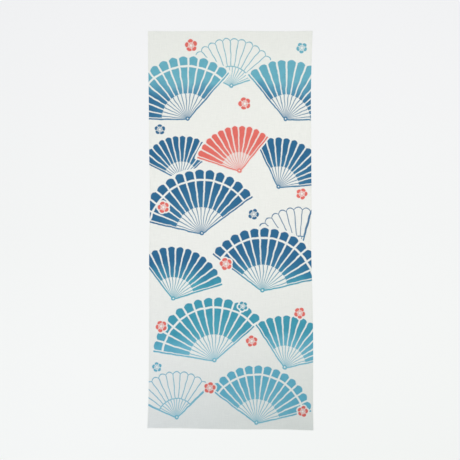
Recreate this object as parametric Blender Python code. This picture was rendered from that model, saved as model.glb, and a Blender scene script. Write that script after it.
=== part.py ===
"""A tenugui, the plain Japanese cotton hand towel, spread out flat with its face up.

It is one length of narrow-loom cotton. Its long sides are the loom's own selvedges and its short
ends are cut raw, with no hem, so the whole towel is one sheet: it has nothing sewn to it.
"""

import math
from collections import namedtuple

import bpy

# Sizes are in metres. X runs across the cloth, Y along it from the foot to the top end, Z is up.
CLOTH_LENGTH = 0.890
CLOTH_THICKNESS = 0.0012
CELLS_ACROSS = 30
CELLS_ALONG = 72

COTTON_COLOUR = (0.80, 0.81, 0.77, 1.0)
COTTON_ROUGHNESS = 0.92

# Where the two selvedges run, measured out from the middle line at heights above the foot.
# Washed and pressed cotton is a little waisted: it flares at both ends, most at the foot.
Selvedge = namedtuple("Selvedge", "above_foot left right")
SELVEDGES = (
    Selvedge(0.000, 0.1859, 0.1852),
    Selvedge(0.065, 0.1836, 0.1847),
    Selvedge(0.176, 0.1824, 0.1849),
    Selvedge(0.288, 0.1817, 0.1836),
    Selvedge(0.400, 0.1822, 0.1808),
    Selvedge(0.512, 0.1803, 0.1813),
    Selvedge(0.624, 0.1822, 0.1806),
    Selvedge(0.735, 0.1829, 0.1799),
    Selvedge(0.825, 0.1843, 0.1815),
    Selvedge(0.890, 0.1847, 0.1836),
)

# How far each raw end lies above its nominal line, at shares of the width from the left selvedge.
# The foot was cut a little askew and runs down to the right.
RawEnd = namedtuple("RawEnd", "across foot_rise top_rise")
RAW_ENDS = (
    RawEnd(0.00, 0.0032, -0.0007),
    RawEnd(0.25, 0.0013, -0.0005),
    RawEnd(0.50, -0.0004, 0.0003),
    RawEnd(0.75, -0.0006, -0.0004),
    RawEnd(1.00, -0.0023, -0.0005),
)

# Soft rises where the cloth stands off the surface; everywhere else it lies on it.
# x and y are the crest's place, long and wide are half sizes, and turn is the long side's angle
# from the cloth's length, anticlockwise.
Swell = namedtuple("Swell", "x y long wide turn_deg height")
SWELLS = (
    Swell(-0.186, 0.446, 0.085, 0.050, 40.0, 0.0016),
    Swell(0.186, 0.446, 0.110, 0.055, -35.0, 0.0026),
    Swell(-0.188, -0.446, 0.120, 0.060, -38.0, 0.0030),
    Swell(0.188, -0.448, 0.095, 0.055, 42.0, 0.0022),
    Swell(-0.184, 0.265, 0.070, 0.022, 0.0, 0.0012),
    Swell(-0.184, 0.085, 0.095, 0.026, 4.0, 0.0018),
    Swell(-0.184, -0.165, 0.080, 0.024, 0.0, 0.0014),
    Swell(0.182, 0.215, 0.105, 0.028, -3.0, 0.0020),
    Swell(0.184, -0.020, 0.075, 0.022, 0.0, 0.0013),
    Swell(0.186, -0.245, 0.100, 0.026, 3.0, 0.0017),
    Swell(-0.060, 0.452, 0.024, 0.080, 0.0, 0.0010),
    Swell(0.040, -0.452, 0.028, 0.090, 0.0, 0.0014),
    Swell(-0.075, 0.250, 0.150, 0.030, -14.0, 0.0008),
    Swell(0.080, -0.225, 0.160, 0.034, 12.0, 0.0009),
)


def clear_scene():
    """Removes whatever the scene starts with."""
    for old in list(bpy.data.objects):
        bpy.data.objects.remove(old, do_unlink=True)


def read_curve(places, values, at):
    """The value at a place on a smooth curve through the given points, with ordinary end slopes."""
    last = len(places) - 1
    step = next((i for i in range(last) if at <= places[i + 1]), last - 1)

    def slope(i):
        before, after = max(i - 1, 0), min(i + 1, last)
        return (values[after] - values[before]) / (places[after] - places[before])

    span = places[step + 1] - places[step]
    t = (at - places[step]) / span
    start_share = (1 + 2 * t) * (1 - t) ** 2
    end_share = t * t * (3 - 2 * t)
    start_pull = t * (1 - t) ** 2 * span
    end_pull = t * t * (t - 1) * span
    return (
        start_share * values[step]
        + end_share * values[step + 1]
        + start_pull * slope(step)
        + end_pull * slope(step + 1)
    )


def flat_place(u, v):
    """The place in plan of a share u across and a share v up the cloth, from the foot's middle."""
    heights = [row.above_foot for row in SELVEDGES]
    above_foot = v * CLOTH_LENGTH
    left = read_curve(heights, [row.left for row in SELVEDGES], above_foot)
    right = read_curve(heights, [row.right for row in SELVEDGES], above_foot)
    shares = [row.across for row in RAW_ENDS]
    foot = read_curve(shares, [row.foot_rise for row in RAW_ENDS], u)
    top = CLOTH_LENGTH + read_curve(shares, [row.top_rise for row in RAW_ENDS], u)
    return -left + u * (left + right), foot + v * (top - foot)


def rise_at(x, y):
    """How far the underside stands off the surface at a place in plan."""
    rise = 0.0
    for swell in SWELLS:
        turn = math.radians(swell.turn_deg)
        east, north = x - swell.x, y - swell.y
        along = (north * math.cos(turn) - east * math.sin(turn)) / swell.long
        aside = (east * math.cos(turn) + north * math.sin(turn)) / swell.wide
        away = math.hypot(along, aside)
        if away < 1.0:
            rise += swell.height * (0.5 + 0.5 * math.cos(math.pi * away))
    return rise


def plan_grid():
    """The cloth's grid of places in plan, row by row from the foot, centred on its own outline."""
    rows = [
        [flat_place(i / CELLS_ACROSS, j / CELLS_ALONG) for i in range(CELLS_ACROSS + 1)]
        for j in range(CELLS_ALONG + 1)
    ]
    xs = [x for row in rows for x, _ in row]
    ys = [y for row in rows for _, y in row]
    middle_x = (min(xs) + max(xs)) / 2
    middle_y = (min(ys) + max(ys)) / 2
    return [[(x - middle_x, y - middle_y) for x, y in row] for row in rows]


def sheet_mesh(name):
    """The closed sheet: an underside and a face joined all round by the thickness of the cloth."""
    plan = plan_grid()
    per_row = CELLS_ACROSS + 1
    layer = per_row * (CELLS_ALONG + 1)
    underside = [(x, y, rise_at(x, y)) for row in plan for x, y in row]
    face = [(x, y, z + CLOTH_THICKNESS) for x, y, z in underside]

    faces = []
    for j in range(CELLS_ALONG):
        for i in range(CELLS_ACROSS):
            a = j * per_row + i
            b, c, d = a + 1, a + per_row + 1, a + per_row
            faces.append((d, c, b, a))
            faces.append((a + layer, b + layer, c + layer, d + layer))

    foot = list(range(per_row))
    right = [j * per_row + CELLS_ACROSS for j in range(1, CELLS_ALONG + 1)]
    top = [CELLS_ALONG * per_row + i for i in range(CELLS_ACROSS - 1, -1, -1)]
    left = [j * per_row for j in range(CELLS_ALONG - 1, 0, -1)]
    rim = foot + right + top + left
    for a, b in zip(rim, rim[1:] + rim[:1]):
        faces.append((a, b, b + layer, a + layer))

    mesh = bpy.data.meshes.new(name)
    mesh.from_pydata(underside + face, [], faces)
    mesh.validate()
    mesh.shade_smooth()
    mesh.set_sharp_from_angle(angle=math.radians(40.0))
    return mesh


def cotton(name):
    """Bleached cotton with a slightly warm white."""
    material = bpy.data.materials.new(name)
    material.use_nodes = True
    shader = material.node_tree.nodes["Principled BSDF"]
    shader.inputs["Base Color"].default_value = COTTON_COLOUR
    shader.inputs["Roughness"].default_value = COTTON_ROUGHNESS
    shader.inputs["Metallic"].default_value = 0.0
    return material


def build():
    """Makes the towel's one object."""
    clear_scene()
    mesh = sheet_mesh("towel_cloth")
    mesh.materials.append(cotton("towel_cotton"))
    towel = bpy.data.objects.new("towel_cloth", mesh)
    bpy.context.scene.collection.objects.link(towel)


build()
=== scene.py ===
"""The looks of a tenugui towel: thin plain-woven cotton spread face up on a pale floor.

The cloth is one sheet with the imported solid's outline and rises, in finer steps. Its pattern is
worked out in the material from a table of folding fans and one of plum blossoms, with the blue dye
graded along the cloth. Sizes are in metres, and X runs across the cloth, Y up it and Z out of its face.
"""

import math
from collections import namedtuple

import bpy
import numpy as np
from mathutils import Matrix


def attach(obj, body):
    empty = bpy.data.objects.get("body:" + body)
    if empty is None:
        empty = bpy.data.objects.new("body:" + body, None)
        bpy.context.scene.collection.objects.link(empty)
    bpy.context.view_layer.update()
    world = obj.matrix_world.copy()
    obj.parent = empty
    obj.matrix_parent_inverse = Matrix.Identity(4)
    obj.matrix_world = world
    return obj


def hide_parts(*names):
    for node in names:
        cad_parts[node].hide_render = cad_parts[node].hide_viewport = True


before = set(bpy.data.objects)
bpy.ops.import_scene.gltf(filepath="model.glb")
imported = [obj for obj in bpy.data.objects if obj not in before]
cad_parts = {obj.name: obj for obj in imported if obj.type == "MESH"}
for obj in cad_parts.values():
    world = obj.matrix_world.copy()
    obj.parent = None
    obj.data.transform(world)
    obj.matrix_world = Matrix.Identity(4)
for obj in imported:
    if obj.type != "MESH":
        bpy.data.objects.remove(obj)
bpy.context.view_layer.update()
CAD_NODE = "towel_cloth"

# The sheet
CLOTH_LENGTH = 0.890
MEAN_WIDTH = 0.365
CLOTH_THICKNESS = 0.0005
SELVEDGE_WIDTH = 0.0035
SELVEDGE_EXTRA = 0.00012
INNER_CELL = 0.0030
EDGE_STEPS = (0.0004, 0.0010, 0.0018, 0.0028, 0.0040, 0.0056, 0.0078)
CREASE_ANGLE = math.radians(50.0)

# Shallow cockles all over, in three breadths, and a ripple that dies away from the selvedges.
# Distances across the cloth are scaled by the stretch, so one below 1 makes a bump longer that way.
Cockle = namedtuple("Cockle", "breadth height seed")
COCKLES = (
    Cockle(0.060, 0.00022, 20),
    Cockle(0.026, 0.00012, 21),
    Cockle(0.013, 0.00005, 22),
)
COCKLE_STRETCH = 0.8
RIPPLE_HEIGHT = 0.00070
RIPPLE_REACH = 0.009
RIPPLE_BREADTHS = (0.014, 0.050)
RIPPLE_SEEDS = (31, 32)
RIPPLE_STRETCH = 0.2

# The yarns, and the painted shade and light of their twist, laid into their colour as stripes
YARN_PITCH = 0.00042
YARN_RADIUS = 0.00012
YARN_SIDES = 4
YARN_TWIST = 0.0006
TWIST_MIDDLE = 0.97
TWIST_PAINTED_SHADE = 0.05

# The warp ends that stand out of each cut: most are short and a few are long. Each runs from just
# inside the cut to its tip, in steps at shares of its length, and thins by its taper. Lean, curl and
# droop are shares of its length too, and stray is how far it leaves its place, as a share of the pitch.
WARP_SEED = 11
WARP_STEPS = (-0.25, 0.15, 0.6, 1.0)
WARP_TAPER = (1.0, 1.0, 0.9, 0.5)
WARP_LEAN = 0.2
WARP_CURL = 0.4
WARP_DROOP = 0.4
WARP_STRAY = 0.3
SHORT_ENDS = (0.0003, 0.0008)
LONG_ENDS = (0.0010, 0.0022)
LONG_ENDS_SHARE = 0.04

# The wefts that have come loose at each cut end. Start and stop are shares of the width, and
# stray is how far the yarn wanders out.
LooseWeft = namedtuple("LooseWeft", "start stop stray")
LOOSE_WEFTS = (
    LooseWeft(0.00, 0.41, 0.0004),
    LooseWeft(0.35, 0.79, 0.0003),
    LooseWeft(0.73, 1.00, 0.0004),
    LooseWeft(0.02, 0.15, 0.0009),
    LooseWeft(0.55, 0.62, 0.0010),
    LooseWeft(0.88, 0.98, 0.0012),
)

# How a loose weft bends outwards, in a long and a short breadth, and how it waves up and down.
# Its tuck keeps its ends in the cloth.
FOOT_SEED, TOP_SEED = 60, 80
WEFT_STEPS_ACROSS = 320
FEWEST_WEFT_STEPS = 16
LONG_BEND = 0.009
LONG_BEND_SHARE = 0.6
SHORT_BEND = 0.0025
LEAST_STRAY = 0.3
WEFT_TUCK = 0.0001
WEFT_WAVE = 0.0015

# Where the two selvedges run, measured out from the middle line at heights above the foot
Selvedge = namedtuple("Selvedge", "above_foot left right")
SELVEDGES = (
    Selvedge(0.000, 0.1859, 0.1852),
    Selvedge(0.065, 0.1836, 0.1847),
    Selvedge(0.176, 0.1824, 0.1849),
    Selvedge(0.288, 0.1817, 0.1836),
    Selvedge(0.400, 0.1822, 0.1808),
    Selvedge(0.512, 0.1803, 0.1813),
    Selvedge(0.624, 0.1822, 0.1806),
    Selvedge(0.735, 0.1829, 0.1799),
    Selvedge(0.825, 0.1843, 0.1815),
    Selvedge(0.890, 0.1847, 0.1836),
)

# How far each raw end lies above its nominal line, at shares of the width from the left selvedge
RawEnd = namedtuple("RawEnd", "across foot_rise top_rise")
RAW_ENDS = (
    RawEnd(0.00, 0.0032, -0.0007),
    RawEnd(0.25, 0.0013, -0.0005),
    RawEnd(0.50, -0.0004, 0.0003),
    RawEnd(0.75, -0.0006, -0.0004),
    RawEnd(1.00, -0.0023, -0.0005),
)

# Soft rises where the cloth stands off the surface, with each crest's place and half sizes
Swell = namedtuple("Swell", "x y long wide turn_deg height")
SWELLS = (
    Swell(-0.186, 0.446, 0.085, 0.050, 40.0, 0.0016),
    Swell(0.186, 0.446, 0.110, 0.055, -35.0, 0.0026),
    Swell(-0.188, -0.446, 0.120, 0.060, -38.0, 0.0030),
    Swell(0.188, -0.448, 0.095, 0.055, 42.0, 0.0022),
    Swell(-0.184, 0.265, 0.070, 0.022, 0.0, 0.0012),
    Swell(-0.184, 0.085, 0.095, 0.026, 4.0, 0.0018),
    Swell(-0.184, -0.165, 0.080, 0.024, 0.0, 0.0014),
    Swell(0.182, 0.215, 0.105, 0.028, -3.0, 0.0020),
    Swell(0.184, -0.020, 0.075, 0.022, 0.0, 0.0013),
    Swell(0.186, -0.245, 0.100, 0.026, 3.0, 0.0017),
    Swell(-0.060, 0.452, 0.024, 0.080, 0.0, 0.0010),
    Swell(0.040, -0.452, 0.028, 0.090, 0.0, 0.0014),
    Swell(-0.075, 0.250, 0.150, 0.030, -14.0, 0.0008),
    Swell(0.080, -0.225, 0.160, 0.034, 12.0, 0.0009),
)

# The dyes, as the share of light that each sends back in red, green and blue
COTTON = (0.800, 0.810, 0.770)
CORAL = (0.720, 0.145, 0.120)
PALE_SHARE = 0.80
DyeStop = namedtuple("DyeStop", "above_foot colour")
BLUE_DYES = (
    DyeStop(0.060, (0.120, 0.410, 0.538)),
    DyeStop(0.184, (0.111, 0.396, 0.526)),
    DyeStop(0.214, (0.052, 0.306, 0.412)),
    DyeStop(0.320, (0.047, 0.299, 0.404)),
    DyeStop(0.347, (0.031, 0.196, 0.326)),
    DyeStop(0.374, (0.022, 0.128, 0.262)),
    DyeStop(0.736, (0.022, 0.128, 0.260)),
    DyeStop(0.757, (0.056, 0.228, 0.370)),
    DyeStop(0.780, (0.130, 0.400, 0.502)),
    DyeStop(0.860, (0.134, 0.409, 0.510)),
)

# The fans, from the one underneath to the one on top. x and y are the rivet's place, turn is the
# fan's middle from the cloth's length, anticlockwise, and radius is the rivet to the rim.
FILLED, BANDED, OUTLINED = 0.0, 1.0, 2.0
Fan = namedtuple("Fan", "x y turn_deg radius folds drawing coral")
FANS = (
    Fan(0.002, 0.324, -4, 0.106, 13, OUTLINED, 0.0),
    Fan(-0.096, 0.250, 24, 0.140, 13, BANDED, 0.0),
    Fan(0.124, 0.250, -26, 0.132, 13, FILLED, 0.0),
    Fan(-0.110, 0.114, 8, 0.098, 11, FILLED, 0.0),
    Fan(0.108, 0.098, -30, 0.110, 11, FILLED, 0.0),
    Fan(0.020, 0.134, 16, 0.100, 11, FILLED, 1.0),
    Fan(-0.064, -0.006, 12, 0.142, 13, BANDED, 0.0),
    Fan(0.152, -0.058, 40, 0.110, 11, OUTLINED, 0.0),
    Fan(0.072, -0.134, -12, 0.140, 13, BANDED, 0.0),
    Fan(-0.128, -0.152, -18, 0.116, 11, FILLED, 0.0),
    Fan(-0.036, -0.290, 16, 0.140, 13, BANDED, 0.0),
    Fan(0.122, -0.306, -22, 0.116, 11, FILLED, 0.0),
    Fan(-0.120, -0.418, 10, 0.102, 11, OUTLINED, 0.0),
    Fan(0.058, -0.430, -12, 0.128, 13, BANDED, 0.0),
)
FOLD_ANGLE = math.radians(10.0)
RIVET_RADIUS = 0.0052
RIVET_HOLE = 0.0017
WHITE_EDGE = 0.0036
GUARD_REACH = 0.0036

# How a fan is drawn. Places, the depth of its rim's scallops and the stretch over which its dye
# deepens are shares of its radius. Widths are in metres, and a band of less than none isn't drawn.
LEAF_START = 0.41
BAND_PLACE = 0.84
GUARD_END = 0.985
DEEPENING = (0.35, 0.75)
SCALLOP_DEPTH = 0.05
BAND_HALF = 0.0022
NO_BAND = -0.0020
OUTLINE_HALF = 0.0011
FOLD_LINE_HALF = 0.0009
GUARD_GAP = 0.0020
GUARD_HALF = 0.0016
RIB_PAST_LEAF = 0.0008
RIB_PAST_SIDE = 0.0015
# Half widths that grow with the distance from the rivet
Widening = namedtuple("Widening", "growth start")
PLEAT_GAP = Widening(0.0125, 0.0005)
RIB_HALF = Widening(0.0115, 0.0004)

Blossom = namedtuple("Blossom", "x y turn_deg radius coral")
BLOSSOMS = (
    Blossom(-0.088, 0.414, 10, 0.014, 1.0),
    Blossom(0.160, 0.408, 30, 0.012, 0.0),
    Blossom(0.032, 0.284, 20, 0.014, 1.0),
    Blossom(-0.158, 0.226, 0, 0.012, 0.0),
    Blossom(-0.150, 0.052, 15, 0.013, 1.0),
    Blossom(0.160, 0.082, 50, 0.013, 1.0),
    Blossom(0.052, 0.036, 50, 0.012, 0.0),
    Blossom(-0.010, -0.075, 15, 0.014, 1.0),
    Blossom(0.155, -0.185, 40, 0.013, 1.0),
    Blossom(0.028, -0.170, 25, 0.011, 0.0),
    Blossom(-0.155, -0.215, 25, 0.013, 1.0),
    Blossom(-0.164, -0.306, 10, 0.011, 0.0),
    Blossom(0.048, -0.248, 10, 0.013, 1.0),
    Blossom(-0.046, -0.352, 60, 0.013, 1.0),
    Blossom(0.162, -0.405, 60, 0.012, 1.0),
)

# How a blossom is drawn. Places and sizes are shares of its radius, and half widths are in metres.
PETALS = 5
STAMENS_EACH = 3
PETAL_PLACE = 0.56
PETAL_SIZE = 0.45
HEART_SIZE = 0.42
JOINED_WITHIN = 0.20
PETAL_GAP_HALF = 0.0006
STAMEN_PLACE = 0.46
STAMEN_TIP = 0.0009
STAMEN_HALF = 0.0004
RING_PLACE = 0.12
RING_HALF = 0.0011
WHITE_ROUND = 0.0030
BLOSSOM_REACH = 0.0056

# Where a place is taken to be when no fan or blossom covers it
FAR_OFF = 9.0

# How the dye strays from its drawing: the edges wander and creep, the bands of blue drift along the
# cloth, the strength is patchy, and the coral bleeds a little into the white around it
WANDER_BREADTH = 0.020
WANDER = 0.0040
CREEP_BREADTH = 0.0009
CREEP = 0.0006
EDGE_BLUR = 0.0007
DRIFT_BREADTH = 0.050
DRIFT = 0.050
PATCH_BREADTH = 0.012
PATCH_TONES = (0.89, 1.11)
BLEED = 0.20

# How far the weave shows in the cloth's tone and in its relief. The thick yarns vary the tone, and the
# crossings and selvedge lines add painted shade and light of their relief to the colour
THICK_YARN_BREADTH = 0.0010
THICK_YARN_STRETCH = 0.045
YARN_TONE = 0.10
CROSSING_PAINTED_SHADE = 0.025
SELVEDGE_LINE_PAINTED_SHADE = 0.03
CROSSING_RELIEF = 0.6
LINE_RELIEF = 0.8
WEAVE_DEPTH = 0.00012
SELVEDGE_LINE = 0.0009
ROUGHNESSES = (0.86, 0.98)

# The picture: the photograph is 460 pixels square, and the cloth's length takes 397.5 of them.
# Its middle is a place in plan, and the lens and the sensor are in millimetres.
PICTURE_SIDE = 460
CLOTH_PIXELS = 397.5
PICTURE_WIDTH = PICTURE_SIDE * CLOTH_LENGTH / CLOTH_PIXELS
PICTURE_MIDDLE = (-0.0008, 0.0010)
LENS = 85.0
SENSOR = 36.0

# The studio: a pale floor and far walls, and their own glow at shares of the picture from its foot
STUDIO_HALF = 15.0
WALL_HEIGHT = 8.0
FLOOR_BASE = (0.130, 0.130, 0.130)
WALL_BASE = (0.046, 0.060, 0.057)
GLOW = (
    (0.0, (0.808, 0.820, 0.806)),
    (0.5, (0.768, 0.780, 0.775)),
    (1.0, (0.761, 0.765, 0.776)),
)

# A wide panel over the upper half, a small cool one past the foot, and weak light all round
Panel = namedtuple("Panel", "name place size energy colour")
PANELS = (
    Panel("main_panel", (0.137, 0.168, 0.450), (1.900, 1.274), 8.72, (1.0, 0.882, 0.877)),
    Panel("foot_panel", (-0.422, -0.598, 0.500), (0.400, 0.400), 0.806, (0.747, 0.678, 1.0)),
)
SKY_COLOUR = (0.172, 0.278, 0.275)


def smooth_curve(places, values, at):
    """Values at many places on a smooth curve through the given points, with ordinary end slopes."""
    places, values, at = np.array(places), np.array(values), np.asarray(at, dtype=float)
    last = len(places) - 1
    order = np.arange(last + 1)
    before, after = np.maximum(order - 1, 0), np.minimum(order + 1, last)
    slopes = (values[after] - values[before]) / (places[after] - places[before])
    step = np.clip(np.searchsorted(places, at, side="left") - 1, 0, last - 1)
    span = places[step + 1] - places[step]
    t = (at - places[step]) / span
    return (
        (1 + 2 * t) * (1 - t) ** 2 * values[step]
        + t * t * (3 - 2 * t) * values[step + 1]
        + t * (1 - t) ** 2 * span * slopes[step]
        + t * t * (t - 1) * span * slopes[step + 1]
    )


def flat_places(u, v):
    """Places in plan for shares u across and v up the cloth, from the middle of its foot."""
    heights = [row.above_foot for row in SELVEDGES]
    above_foot = v * CLOTH_LENGTH
    left = smooth_curve(heights, [row.left for row in SELVEDGES], above_foot)
    right = smooth_curve(heights, [row.right for row in SELVEDGES], above_foot)
    shares = [row.across for row in RAW_ENDS]
    foot = smooth_curve(shares, [row.foot_rise for row in RAW_ENDS], u)
    top = CLOTH_LENGTH + smooth_curve(shares, [row.top_rise for row in RAW_ENDS], u)
    return -left + u * (left + right), foot + v * (top - foot)


def swells_at(x, y):
    """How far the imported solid's underside stands off the surface at places in plan."""
    rise = np.zeros(np.shape(x))
    for swell in SWELLS:
        turn = math.radians(swell.turn_deg)
        east, north = x - swell.x, y - swell.y
        along = (north * math.cos(turn) - east * math.sin(turn)) / swell.long
        aside = (east * math.cos(turn) + north * math.sin(turn)) / swell.wide
        away = np.minimum(np.hypot(along, aside), 1.0)
        rise += swell.height * (0.5 + 0.5 * np.cos(math.pi * away))
    return rise


def smooth_noise(x, y, size, seed):
    """Soft seeded noise from 0 to 1 over the plan, with bumps about one size across."""
    cells = 96
    lattice = np.random.default_rng(seed).random((cells, cells))
    gx, gy = x / size + cells / 2, y / size + cells / 2
    i, j = np.floor(gx).astype(int), np.floor(gy).astype(int)
    fx, fy = gx - i, gy - j
    fx, fy = fx * fx * (3 - 2 * fx), fy * fy * (3 - 2 * fy)
    i, j, i_next, j_next = i % cells, j % cells, (i + 1) % cells, (j + 1) % cells
    low = lattice[i, j] * (1 - fx) + lattice[i_next, j] * fx
    high = lattice[i, j_next] * (1 - fx) + lattice[i_next, j_next] * fx
    return low * (1 - fy) + high * fy


def edge_shares(length):
    """Shares along a side of the cloth: fine steps by both edges and even cells between."""
    near = np.array((0.0,) + EDGE_STEPS)
    start = near[-1]
    cells = round((length - 2 * start) / INNER_CELL)
    middle = np.linspace(start, length - start, cells + 1)[1:-1]
    return np.concatenate([near, middle, (length - near)[::-1]]) / length


def cloth_heights(x, y, from_selvedge):
    """The underside's height and the cloth's thickness over the plan."""
    lift = swells_at(x, y)
    for cockle in COCKLES:
        bumps = smooth_noise(x * COCKLE_STRETCH, y, cockle.breadth, cockle.seed)
        lift = lift + cockle.height * bumps
    ripple = RIPPLE_HEIGHT * np.exp(-from_selvedge / RIPPLE_REACH)
    for breadth, seed in zip(RIPPLE_BREADTHS, RIPPLE_SEEDS):
        ripple = ripple * smooth_noise(x * RIPPLE_STRETCH, y, breadth, seed)
    band = np.clip(2 - 2 * from_selvedge / SELVEDGE_WIDTH, 0, 1)
    return lift + ripple, CLOTH_THICKNESS + SELVEDGE_EXTRA * band


def cloth_piece(name):
    """The closed sheet, with its face and underside laid side by side in its map."""
    u, v = np.meshgrid(edge_shares(MEAN_WIDTH), edge_shares(CLOTH_LENGTH))
    x, y = flat_places(u, v)
    x = x - (x.min() + x.max()) / 2
    y = y - (y.min() + y.max()) / 2
    from_selvedge = np.minimum(u, 1 - u) * MEAN_WIDTH
    under, thickness = cloth_heights(x, y, from_selvedge)
    rows, across = u.shape
    layer = rows * across
    below = np.stack([x, y, under], -1).reshape(-1, 3)
    above = np.stack([x, y, under + thickness], -1).reshape(-1, 3)
    points = np.concatenate([below, above])

    grid = np.arange(layer).reshape(rows, across)
    a, b, c, d = grid[:-1, :-1], grid[:-1, 1:], grid[1:, 1:], grid[1:, :-1]
    underside = np.stack([d, c, b, a], -1).reshape(-1, 4)
    face = np.stack([a, b, c, d], -1).reshape(-1, 4) + layer
    rim = np.concatenate([grid[0, :], grid[1:, -1], grid[-1, -2::-1], grid[-2:0:-1, 0]])
    after = np.roll(rim, -1)
    edge = np.stack([rim, after, after + layer, rim + layer], -1)
    quads = np.concatenate([underside, face, edge])

    mesh = bpy.data.meshes.new(name)
    mesh.from_pydata(points.tolist(), [], quads.tolist())
    mesh.validate()
    mesh.shade_smooth()
    mesh.set_sharp_from_angle(angle=CREASE_ANGLE)
    distance = mesh.attributes.new("from_selvedge", "FLOAT", "POINT")
    distance.data.foreach_set("value", np.tile(from_selvedge.ravel(), 2).astype(np.float32))
    lay_out_map(mesh, underside.size, face.size, layer, np.stack([u, v], -1).reshape(-1, 2))
    piece = bpy.data.objects.new(name, mesh)
    bpy.context.scene.collection.objects.link(piece)
    middle = under + thickness / 2
    return piece, np.stack([x[0], y[0], middle[0]], -1), np.stack([x[-1], y[-1], middle[-1]], -1)


def lay_out_map(mesh, under_loops, face_loops, layer, shares):
    """Gives the mesh its map: the face with its rim on the left half, the underside on the right."""
    margin, rim_width = 0.006, 0.004
    loops = np.zeros(len(mesh.loops), dtype=np.int32)
    mesh.loops.foreach_get("vertex_index", loops)
    share = shares[loops % layer]
    places = np.empty((len(loops), 2))
    places[:, 0] = margin + share[:, 0] * (0.5 - 2 * margin)
    places[:, 1] = margin + share[:, 1] * (1 - 2 * margin)
    places[:under_loops, 0] = 1 - places[:under_loops, 0]
    first = under_loops + face_loops
    corners = share[first:].reshape(-1, 4, 2)
    outward = (corners.min(axis=1) == 1.0).astype(float) - (corners.max(axis=1) == 0.0)
    rim = places[first:].reshape(-1, 4, 2)
    rim[:, :2] += outward[:, None] * rim_width
    layout = mesh.uv_layers.new(name="OFBake")
    layout.data.foreach_set("uv", places.astype(np.float32).ravel())


def tube_parts(path, radii, sides, first):
    """The points and faces of one closed tube along a path, numbered from first."""
    path = np.asarray(path)
    forward = np.gradient(path, axis=0)
    forward /= np.linalg.norm(forward, axis=1, keepdims=True)
    aside = np.cross(forward, (0.0, 0.0, 1.0))
    aside /= np.linalg.norm(aside, axis=1, keepdims=True)
    upward = np.cross(aside, forward)
    turns = 2 * np.pi * (np.arange(sides) + 0.5) / sides
    ring = aside[:, None] * np.cos(turns)[:, None] + upward[:, None] * np.sin(turns)[:, None]
    points = (path[:, None] + ring * np.asarray(radii)[:, None, None]).reshape(-1, 3)
    faces = []
    for row in range(len(path) - 1):
        for k in range(sides):
            a, b = first + row * sides + k, first + row * sides + (k + 1) % sides
            faces.append((b, a, a + sides, b + sides))
    end = first + (len(path) - 1) * sides
    faces.append(tuple(range(first, first + sides)))
    faces.append(tuple(range(end + sides - 1, end - 1, -1)))
    return points, faces


def warp_end(root, outward, length, lean, curl):
    """One warp yarn's free end: it leaves the cut edge, leans aside and sinks to the floor."""
    steps = np.array(WARP_STEPS)
    run = np.maximum(steps, 0.0)
    x = root[0] + length * (lean * run + curl * run * run)
    y = root[1] + outward * length * steps
    z = np.maximum(root[2] - WARP_DROOP * length * run * run, YARN_RADIUS)
    return np.stack([x, y, z], -1)


def loose_weft(edge, outward, weft, seed):
    """A weft yarn that has come away along a stretch of the cut edge."""
    stretch = weft.stop - weft.start
    steps = max(FEWEST_WEFT_STEPS, round(stretch * WEFT_STEPS_ACROSS))
    shares = np.linspace(weft.start, weft.stop, steps)
    order = np.linspace(0, 1, len(edge))
    x, y, z = (np.interp(shares, order, edge[:, k]) for k in range(3))
    inside = np.sin(np.pi * (shares - weft.start) / stretch) ** 0.5
    level = np.zeros(steps)
    long_bends = smooth_noise(x, level, LONG_BEND, seed) * LONG_BEND_SHARE
    short_bends = smooth_noise(x, level, SHORT_BEND, seed + 1) * (1 - LONG_BEND_SHARE)
    waves = 2 * smooth_noise(x, level, WEFT_WAVE, seed + 2) - 1
    y = y + outward * (weft.stray * inside * (LEAST_STRAY + long_bends + short_bends) - WEFT_TUCK)
    z = np.maximum(z + YARN_RADIUS * waves, YARN_RADIUS)
    return np.stack([x, y, z], -1)


def raw_end_yarns(name, foot, top):
    """The yarn ends that stand out of both cut ends, with a few wefts that have come loose."""
    draw = np.random.default_rng(WARP_SEED)
    points, faces, count = [], [], 0

    def add(path, radii):
        nonlocal count
        new_points, new_faces = tube_parts(path, radii, YARN_SIDES, count)
        points.append(new_points)
        faces.extend(new_faces)
        count += len(new_points)

    taper = YARN_RADIUS * np.array(WARP_TAPER)
    for edge, outward, seed in ((foot, -1.0, FOOT_SEED), (top, 1.0, TOP_SEED)):
        order = np.linspace(0, 1, len(edge))
        ends = round(MEAN_WIDTH / YARN_PITCH)
        for k in range(ends):
            share = (k + 0.5 + draw.uniform(-WARP_STRAY, WARP_STRAY)) / ends
            root = [np.interp(share, order, edge[:, axis]) for axis in range(3)]
            length = draw.uniform(*SHORT_ENDS)
            if draw.random() < LONG_ENDS_SHARE:
                length = draw.uniform(*LONG_ENDS)
            lean = draw.uniform(-WARP_LEAN, WARP_LEAN)
            curl = draw.uniform(-WARP_CURL, WARP_CURL)
            add(warp_end(root, outward, length, lean, curl), taper)
        for k, weft in enumerate(LOOSE_WEFTS):
            path = loose_weft(edge, outward, weft, seed + 3 * k)
            add(path, np.full(len(path), YARN_RADIUS))

    mesh = bpy.data.meshes.new(name)
    mesh.from_pydata(np.concatenate(points).tolist(), [], faces)
    mesh.validate()
    mesh.shade_smooth()
    piece = bpy.data.objects.new(name, mesh)
    bpy.context.scene.collection.objects.link(piece)
    return piece


class Field:
    """A number or colour that changes over the cloth: the socket of the node that works it out."""

    def __init__(self, tree, socket):
        self.tree = tree
        self.socket = socket

    def __add__(self, other):
        return work(self.tree, "ADD", self, other)

    def __sub__(self, other):
        return work(self.tree, "SUBTRACT", self, other)

    def __rsub__(self, other):
        return work(self.tree, "SUBTRACT", other, self)

    def __mul__(self, other):
        return work(self.tree, "MULTIPLY", self, other)

    def __truediv__(self, other):
        return work(self.tree, "DIVIDE", self, other)


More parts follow.
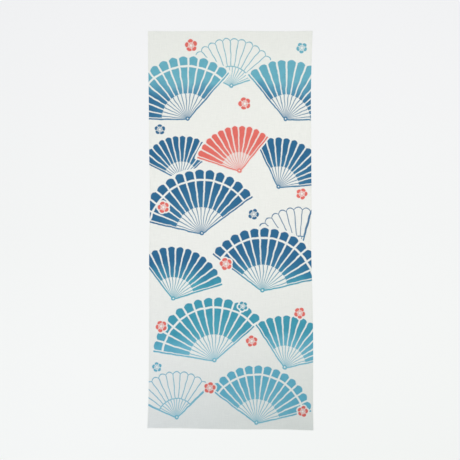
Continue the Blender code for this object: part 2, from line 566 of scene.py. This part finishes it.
def feed(tree, socket, value):
    """Sets a socket to a field or to a plain value."""
    if isinstance(value, Field):
        tree.links.new(value.socket, socket)
    else:
        socket.default_value = value


def work(tree, operation, *values, clamp=False):
    """One Math node."""
    node = tree.nodes.new("ShaderNodeMath")
    node.operation = operation
    node.use_clamp = clamp
    for socket, value in zip(node.inputs, values):
        feed(tree, socket, value)
    return Field(tree, node.outputs[0])


def vector_work(tree, operation, *values):
    """One Vector Math node. Length gives a number, the others a vector."""
    node = tree.nodes.new("ShaderNodeVectorMath")
    node.operation = operation
    for socket, value in zip(node.inputs, values):
        feed(tree, socket, value)
    return Field(tree, node.outputs["Value" if operation == "LENGTH" else "Vector"])


def lowest(first, *others):
    """The smallest of several fields, or what several shapes share."""
    for other in others:
        first = work(first.tree, "MINIMUM", first, other)
    return first


def highest(first, *others):
    """The largest of several fields, or several shapes together."""
    for other in others:
        first = work(first.tree, "MAXIMUM", first, other)
    return first


def size_of(field):
    """A field without its sign."""
    return work(field.tree, "ABSOLUTE", field)


def soft_edge(distance, blur):
    """1 well inside a shape and 0 well outside, from the distance inside its edge."""
    return work(distance.tree, "MULTIPLY_ADD", distance, 0.5 / blur, 0.5, clamp=True)


def is_over(field, limit):
    """1 where a field is over a limit, and 0 elsewhere."""
    return work(field.tree, "GREATER_THAN", field, limit)


def share_between(field, start, end):
    """0 up to the start, 1 from the end on, and a straight slope between them."""
    rate = 1 / (end - start)
    return work(field.tree, "MULTIPLY_ADD", field, rate, -start * rate, clamp=True)


def half_width(distance, widening):
    """A half width that grows with a distance."""
    return distance * widening.growth + widening.start


def blend(tree, share, start, end, kind="FLOAT"):
    """One Mix node, from start to end."""
    node = tree.nodes.new("ShaderNodeMix")
    node.data_type = kind
    node.clamp_factor = True
    ends = {"FLOAT": (2, 3, 0), "VECTOR": (4, 5, 1), "RGBA": (6, 7, 2)}[kind]
    feed(tree, node.inputs[0], share)
    feed(tree, node.inputs[ends[0]], start)
    feed(tree, node.inputs[ends[1]], end)
    return Field(tree, node.outputs[ends[2]])


def parts_of(vector):
    """The three numbers of a vector field."""
    node = vector.tree.nodes.new("ShaderNodeSeparateXYZ")
    feed(vector.tree, node.inputs[0], vector)
    return [Field(vector.tree, socket) for socket in node.outputs]


def noise(places, size, detail=1.0, output="Fac", stretch=(1.0, 1.0, 1.0)):
    """Soft noise about one size across: one number, or three as a colour."""
    tree = places.tree
    node = tree.nodes.new("ShaderNodeTexNoise")
    node.inputs["Scale"].default_value = 1.0 / size
    node.inputs["Detail"].default_value = detail
    if stretch != (1.0, 1.0, 1.0):
        places = vector_work(tree, "MULTIPLY", places, stretch)
    feed(tree, node.inputs["Vector"], places)
    return Field(tree, node.outputs[output])


def seen_from(places, x, y, turn_deg):
    """Places measured from a point, in metres, with Y along the given turn."""
    node = places.tree.nodes.new("ShaderNodeMapping")
    node.vector_type = "TEXTURE"
    node.inputs["Location"].default_value = (x, y, 0.0)
    node.inputs["Rotation"].default_value = (0.0, 0.0, math.radians(turn_deg))
    feed(places.tree, node.inputs["Vector"], places)
    return Field(places.tree, node.outputs[0])


def choose_fan(places):
    """Which fan lies on top at each place: the place as seen from its rivet, and its facts."""
    tree = places.tree
    # Where no fan lies, the place is far off a plain one of middling size
    place, facts = (FAR_OFF, FAR_OFF, 0.1), (1.0, 0.0, 0.0)
    for fan in FANS:
        opening = fan.folds * FOLD_ANGLE / 2
        local = seen_from(places, fan.x, fan.y, fan.turn_deg)
        away = vector_work(tree, "LENGTH", local)
        x, y, _ = parts_of(local)
        angle = size_of(work(tree, "ARCTAN2", x, y))
        beside = work(tree, "MULTIPLY_ADD", opening - angle, away, GUARD_REACH + WHITE_EDGE)
        sector = lowest(fan.radius + WHITE_EDGE - away, beside)
        hit = is_over(highest(sector, RIVET_RADIUS + WHITE_EDGE - away), 0.0)
        own_place = vector_work(tree, "ADD", local, (0.0, 0.0, fan.radius))
        place = blend(tree, hit, place, own_place, "VECTOR")
        facts = blend(tree, hit, facts, (opening, fan.drawing, fan.coral), "VECTOR")
    return place, facts


def fan_ink(place, facts):
    """How far inside a fan's ink and its whole shape each place is, how near its rim, and its dye."""
    tree = place.tree
    x, y, radius = parts_of(place)
    opening, drawing, coral = parts_of(facts)
    flat = vector_work(tree, "MULTIPLY", place, (1.0, 1.0, 0.0))
    away = vector_work(tree, "LENGTH", flat)
    angle = work(tree, "ARCTAN2", x, y)
    folds = work(tree, "FRACT", (angle + opening) / FOLD_ANGLE)
    off_middle = size_of(folds - 0.5)
    arc = away * FOLD_ANGLE
    from_fold = (0.5 - off_middle) * arc
    beside = (opening - size_of(angle)) * away
    inner = radius * LEAF_START
    rim = radius * (1.0 - off_middle * off_middle * (4 * SCALLOP_DEPTH))

    past_inner = away - inner
    short_of_rim = rim - away
    pleat = from_fold - half_width(away, PLEAT_GAP)
    banded = work(tree, "LESS_THAN", size_of(drawing - BANDED), 0.5)
    band_half = banded * (BAND_HALF - NO_BAND) + NO_BAND
    outside_band = size_of(away - radius * BAND_PLACE) - band_half
    filled = lowest(past_inner, short_of_rim, pleat, beside, outside_band)

    line = OUTLINE_HALF
    drawn = highest(line - size_of(short_of_rim), line - size_of(past_inner), FOLD_LINE_HALF - from_fold)
    drawn = lowest(drawn, past_inner + line, short_of_rim + line, beside + line)
    leaf = blend(tree, is_over(drawing, (BANDED + OUTLINED) / 2), filled, drawn)

    rib = half_width(away, RIB_HALF) - off_middle * arc
    rib = lowest(rib, inner + RIB_PAST_LEAF - away, beside + RIB_PAST_SIDE)
    guard = lowest(GUARD_HALF - size_of(beside + GUARD_GAP), radius * GUARD_END - away)
    ink = highest(leaf, rib, guard, RIVET_RADIUS - away)
    ink = lowest(ink, away - RIVET_HOLE)
    near_rim = share_between(away / radius, *DEEPENING)
    body = highest(lowest(short_of_rim, beside + GUARD_REACH), RIVET_RADIUS - away)
    return ink, body, near_rim, coral


def choose_blossom(places):
    """Which blossom is nearest at each place: the place as seen from its middle, and its facts."""
    tree = places.tree
    # Where none lies, the place is far off a blue one of middling size
    place, facts = (FAR_OFF, FAR_OFF, 0.015), (0.0, 0.0, 0.0)
    for blossom in BLOSSOMS:
        local = seen_from(places, blossom.x, blossom.y, blossom.turn_deg)
        away = vector_work(tree, "LENGTH", local)
        hit = work(tree, "LESS_THAN", away, blossom.radius + BLOSSOM_REACH)
        own_place = vector_work(tree, "ADD", local, (0.0, 0.0, blossom.radius))
        place = blend(tree, hit, place, own_place, "VECTOR")
        facts = blend(tree, hit, facts, (blossom.coral, 0.0, 0.0), "VECTOR")
    return place, facts


def turn_within(angle, share):
    """An angle measured from the middle of its own share of the circle."""
    # The half puts each middle at zero, and the whole shares keep the number above zero
    whole_shares = 20
    counted = work(angle.tree, "MULTIPLY_ADD", angle, 1 / share, whole_shares + 0.5)
    return (work(angle.tree, "FRACT", counted) - 0.5) * share


def blossom_ink(place, facts):
    """How far inside a blossom's ink each place is, and how far inside its whole shape."""
    tree = place.tree
    x, y, radius = parts_of(place)
    coral = parts_of(facts)[0]
    away = vector_work(tree, "LENGTH", vector_work(tree, "MULTIPLY", place, (1.0, 1.0, 0.0)))
    angle = work(tree, "ARCTAN2", x, y)
    petal_turn = 2 * math.pi / PETALS
    in_petal = turn_within(angle, petal_turn)
    along = away * work(tree, "COSINE", in_petal) - radius * PETAL_PLACE
    aside = away * work(tree, "SINE", in_petal)
    middle = work(tree, "SQRT", along * along + aside * aside)
    petal = radius * PETAL_SIZE - middle
    gap = (petal_turn / 2 - size_of(in_petal)) * away - PETAL_GAP_HALF
    gap = highest(gap, radius * JOINED_WITHIN - away)

    in_stamen = turn_within(angle, petal_turn / STAMENS_EACH) * away
    beyond = away - radius * STAMEN_PLACE
    tip = STAMEN_TIP - work(tree, "SQRT", beyond * beyond + in_stamen * in_stamen)
    past_ring = away - radius * RING_PLACE
    heart = radius * HEART_SIZE - away
    stem = lowest(STAMEN_HALF - size_of(in_stamen), past_ring, heart)
    ring = RING_HALF - size_of(past_ring)
    white = highest(tip, stem, ring)
    ink = lowest(petal, gap, 0.0 - white)
    return ink, highest(petal, heart), coral


def colour_ramp(along, stops):
    """The colour at each share of a way, from its stops in rising order."""
    node = along.tree.nodes.new("ShaderNodeValToRGB")
    ramp = node.color_ramp
    ramp.elements.remove(ramp.elements[0])
    for k, (place, colour) in enumerate(stops):
        element = ramp.elements[0] if k == 0 else ramp.elements.new(place)
        element.position = place
        element.color = (*colour, 1.0)
    feed(along.tree, node.inputs[0], along)
    return Field(along.tree, node.outputs[0])


def dye_ramp(height, share):
    """The blue dye's colour up the cloth, at a share of its full strength."""
    stops = [(stop.above_foot / CLOTH_LENGTH, weaker(stop.colour, share)) for stop in BLUE_DYES]
    return colour_ramp(height, stops)


def weaker(colour, share):
    """A dye's colour on cotton at a share of its full strength."""
    return tuple(c * (d / c) ** share for c, d in zip(COTTON, colour))


def times(tree, colour, number):
    """A colour field made lighter or darker by a number field."""
    return vector_work(tree, "MULTIPLY", colour, grey(tree, number))


def grey(tree, number):
    """A number as a colour without hue."""
    node = tree.nodes.new("ShaderNodeCombineXYZ")
    for socket in node.inputs:
        feed(tree, socket, number)
    return Field(tree, node.outputs[0])


def strayed(places, breadth, detail, reach):
    """How far places in plan are carried off by noise, at most half its reach each way."""
    tree = places.tree
    carried = vector_work(tree, "SUBTRACT", noise(places, breadth, detail, "Color"), (0.5, 0.5, 0.5))
    return vector_work(tree, "MULTIPLY", carried, (reach, reach, 0.0))


def dyed_colour(tree, places):
    """The cloth's colour: cotton, with fans and blossoms in blue and coral."""
    wander = strayed(places, WANDER_BREADTH, 2.0, WANDER)
    creep = strayed(places, CREEP_BREADTH, 0.0, CREEP)
    cut = vector_work(tree, "ADD", vector_work(tree, "ADD", places, wander), creep)

    fan_depth, fan_body, near_rim, fan_coral = fan_ink(*choose_fan(cut))
    blossom_depth, blossom_body, blossom_coral = blossom_ink(*choose_blossom(cut))
    bleed = work(tree, "MULTIPLY_ADD", fan_body, 1 / WHITE_EDGE, 1.0, clamp=True)
    bleed = bleed * bleed * fan_coral * BLEED
    fan_cover = highest(soft_edge(fan_depth, EDGE_BLUR), bleed)
    fan_cover = fan_cover * (1.0 - soft_edge(blossom_body + WHITE_ROUND, EDGE_BLUR))
    blossom_cover = soft_edge(blossom_depth, EDGE_BLUR)
    cover = highest(fan_cover, blossom_cover)
    on_blossom = is_over(blossom_cover, fan_cover)
    coral = blend(tree, on_blossom, fan_coral, blossom_coral)
    strength = highest(near_rim, on_blossom)

    _, y, _ = parts_of(places)
    drift = (noise(places, DRIFT_BREADTH, 2.0) - 0.5) * DRIFT
    height = work(tree, "MULTIPLY_ADD", y + drift, 1 / CLOTH_LENGTH, 0.5)
    blue = blend(tree, strength, dye_ramp(height, PALE_SHARE), dye_ramp(height, 1.0), "RGBA")
    pale_coral = (*weaker(CORAL, PALE_SHARE), 1.0)
    red = blend(tree, strength, pale_coral, (*CORAL, 1.0), "RGBA")
    dye = blend(tree, coral, blue, red, "RGBA")
    darkest, lightest = PATCH_TONES
    patches = work(tree, "MULTIPLY_ADD", noise(places, PATCH_BREADTH, 3.0), lightest - darkest, darkest)
    dye = times(tree, dye, patches)
    return blend(tree, cover, (*COTTON, 1.0), dye, "RGBA")


def weave_relief(tree, places):
    """The plain weave's crossings, from -1 to 1, and how thick its warp and weft are, from 0 to 1."""
    x, y, _ = parts_of(places)
    rate = math.pi / YARN_PITCH
    crossings = work(tree, "SINE", x * rate) * work(tree, "SINE", y * rate)
    warp = noise(places, THICK_YARN_BREADTH, 1.0, stretch=(1.0, THICK_YARN_STRETCH, 1.0))
    weft = noise(places, THICK_YARN_BREADTH, 1.0, stretch=(THICK_YARN_STRETCH, 1.0, 1.0))
    return crossings, warp, weft


def plain_cotton(name):
    """A soft matt material, with its shader and the places in plan."""
    material = bpy.data.materials.new(name)
    material.use_nodes = True
    tree = material.node_tree
    shader = tree.nodes["Principled BSDF"]
    shader.inputs["Roughness"].default_value = 0.95
    shader.inputs["Specular IOR Level"].default_value = 0.25
    shader.inputs["Sheen Weight"].default_value = 0.08
    shader.inputs["Sheen Roughness"].default_value = 0.5
    coordinates = tree.nodes.new("ShaderNodeTexCoord")
    in_space = Field(tree, coordinates.outputs["Object"])
    return material, shader, vector_work(tree, "MULTIPLY", in_space, (1.0, 1.0, 0.0))


def yarn_material(name):
    """Loose cotton yarns in the cloth's dyes, with the shade and light of their twist painted into their
    colour as stripes.
    """
    material, shader, places = plain_cotton(name)
    tree = places.tree
    x, y, _ = parts_of(places)
    # Painted shade: darker and lighter stripes along the twist stand in for the twist's relief, since
    # these yarns have no bump
    twist = work(tree, "SINE", (x + y) * (2 * math.pi / YARN_TWIST))
    painted_twist_shade = twist * TWIST_PAINTED_SHADE + TWIST_MIDDLE
    feed(tree, shader.inputs["Base Color"], times(tree, dyed_colour(tree, places), painted_twist_shade))
    return material


def cotton_material(name):
    """Soft plain-woven cotton with the dye gone through it, and with the weave's shade painted into its
    colour.
    """
    material, shader, places = plain_cotton(name)
    tree = places.tree
    crossings, warp, weft = weave_relief(tree, places)
    tone = work(tree, "MULTIPLY_ADD", warp + weft, YARN_TONE, 1.0 - YARN_TONE)
    # Painted shade: the weave's crossings are made darker and lighter in the colour as well as in the
    # relief
    tone = tone + crossings * CROSSING_PAINTED_SHADE
    edge = tree.nodes.new("ShaderNodeAttribute")
    edge.attribute_name = "from_selvedge"
    from_edge = Field(tree, edge.outputs["Fac"])
    lines = work(tree, "SINE", from_edge * (2 * math.pi / SELVEDGE_LINE))
    lines = lines * work(tree, "LESS_THAN", from_edge, SELVEDGE_WIDTH)
    # Painted shade: the selvedge's ridged lines are made darker and lighter in the colour as well as in
    # the relief
    tone = tone + lines * SELVEDGE_LINE_PAINTED_SHADE
    feed(tree, shader.inputs["Base Color"], times(tree, dyed_colour(tree, places), tone))
    thin, thick = ROUGHNESSES
    feed(tree, shader.inputs["Roughness"], work(tree, "MULTIPLY_ADD", warp, thick - thin, thin))

    bump = tree.nodes.new("ShaderNodeBump")
    bump.inputs["Strength"].default_value = 0.6
    bump.inputs["Distance"].default_value = WEAVE_DEPTH
    relief = size_of(crossings) * CROSSING_RELIEF + warp + weft + lines * LINE_RELIEF
    feed(tree, bump.inputs["Height"], relief)
    tree.links.new(bump.outputs[0], shader.inputs["Normal"])
    return material


def studio_material(name, base):
    """A pale studio surface with a glow of its own that keeps it even where the panels fall off."""
    material = bpy.data.materials.new(name)
    material.use_nodes = True
    tree = material.node_tree
    shader = tree.nodes["Principled BSDF"]
    shader.inputs["Base Color"].default_value = (*base, 1.0)
    shader.inputs["Roughness"].default_value = 1.0
    shader.inputs["Specular IOR Level"].default_value = 0.0
    shader.inputs["Emission Strength"].default_value = 1.0
    coordinates = tree.nodes.new("ShaderNodeTexCoord")
    _, y, _ = parts_of(Field(tree, coordinates.outputs["Object"]))
    height = work(tree, "MULTIPLY_ADD", y, 1 / PICTURE_WIDTH, 0.5)
    feed(tree, shader.inputs["Emission Color"], colour_ramp(height, GLOW))
    return material


def stage_piece(name, corners, faces, material):
    """A plain mesh that belongs to the studio."""
    mesh = bpy.data.meshes.new(name)
    mesh.from_pydata(corners, [], faces)
    mesh.materials.append(material)
    piece = bpy.data.objects.new(name, mesh)
    bpy.context.scene.collection.objects.link(piece)
    return piece


def studio_floor():
    """The surface that the cloth lies on, and far walls of its own tone, so that no horizon shows."""
    signs = ((-1, -1), (1, -1), (1, 1), (-1, 1))
    low = [(x * STUDIO_HALF, y * STUDIO_HALF, 0.0) for x, y in signs]
    high = [(x, y, WALL_HEIGHT) for x, y, _ in low]
    floor_finish = studio_material("studio_floor", FLOOR_BASE)
    floor = stage_piece("studio_floor", low, [(0, 1, 2, 3)], floor_finish)
    sides = [(k, (k + 1) % 4, (k + 1) % 4 + 4, k + 4) for k in range(4)]
    wall_finish = studio_material("studio_walls", WALL_BASE)
    walls = stage_piece("studio_walls", low + high, sides, wall_finish)
    walls.visible_diffuse = False
    return floor


def studio_lights():
    """Soft rectangular panels that face straight down, and a weak light all round."""
    for panel in PANELS:
        light = bpy.data.lights.new(panel.name, "AREA")
        light.shape = "RECTANGLE"
        light.size, light.size_y = panel.size
        light.energy = panel.energy
        light.color = panel.colour
        lamp = bpy.data.objects.new(panel.name, light)
        lamp.location = panel.place
        lamp.visible_camera = False
        bpy.context.scene.collection.objects.link(lamp)

    world = bpy.data.worlds.new("studio")
    world.use_nodes = True
    sky = world.node_tree.nodes["Background"]
    sky.inputs["Color"].default_value = (*SKY_COLOUR, 1.0)
    sky.inputs["Strength"].default_value = 1.0
    bpy.context.scene.world = world


def studio_camera():
    """Looks straight down on the middle of the cloth, with the photograph's width in view."""
    camera = bpy.data.cameras.new("camera")
    camera.lens = LENS
    camera.sensor_width = SENSOR
    camera_object = bpy.data.objects.new("camera", camera)
    camera_object.location = (*PICTURE_MIDDLE, PICTURE_WIDTH * LENS / SENSOR)
    bpy.context.scene.collection.objects.link(camera_object)
    bpy.context.scene.camera = camera_object
    bpy.context.scene.view_settings.view_transform = "Standard"


studio_camera()
studio_lights()
floor = studio_floor()
cloth, foot, top = cloth_piece("dyed_cloth")
yarn_ends = raw_end_yarns("raw_end_yarns", foot, top)
cloth.data.materials.append(cotton_material("dyed_cotton"))
yarn_ends.data.materials.append(yarn_material("dyed_yarn"))
for piece in (cloth, yarn_ends):
    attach(piece, "root")
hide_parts(CAD_NODE)
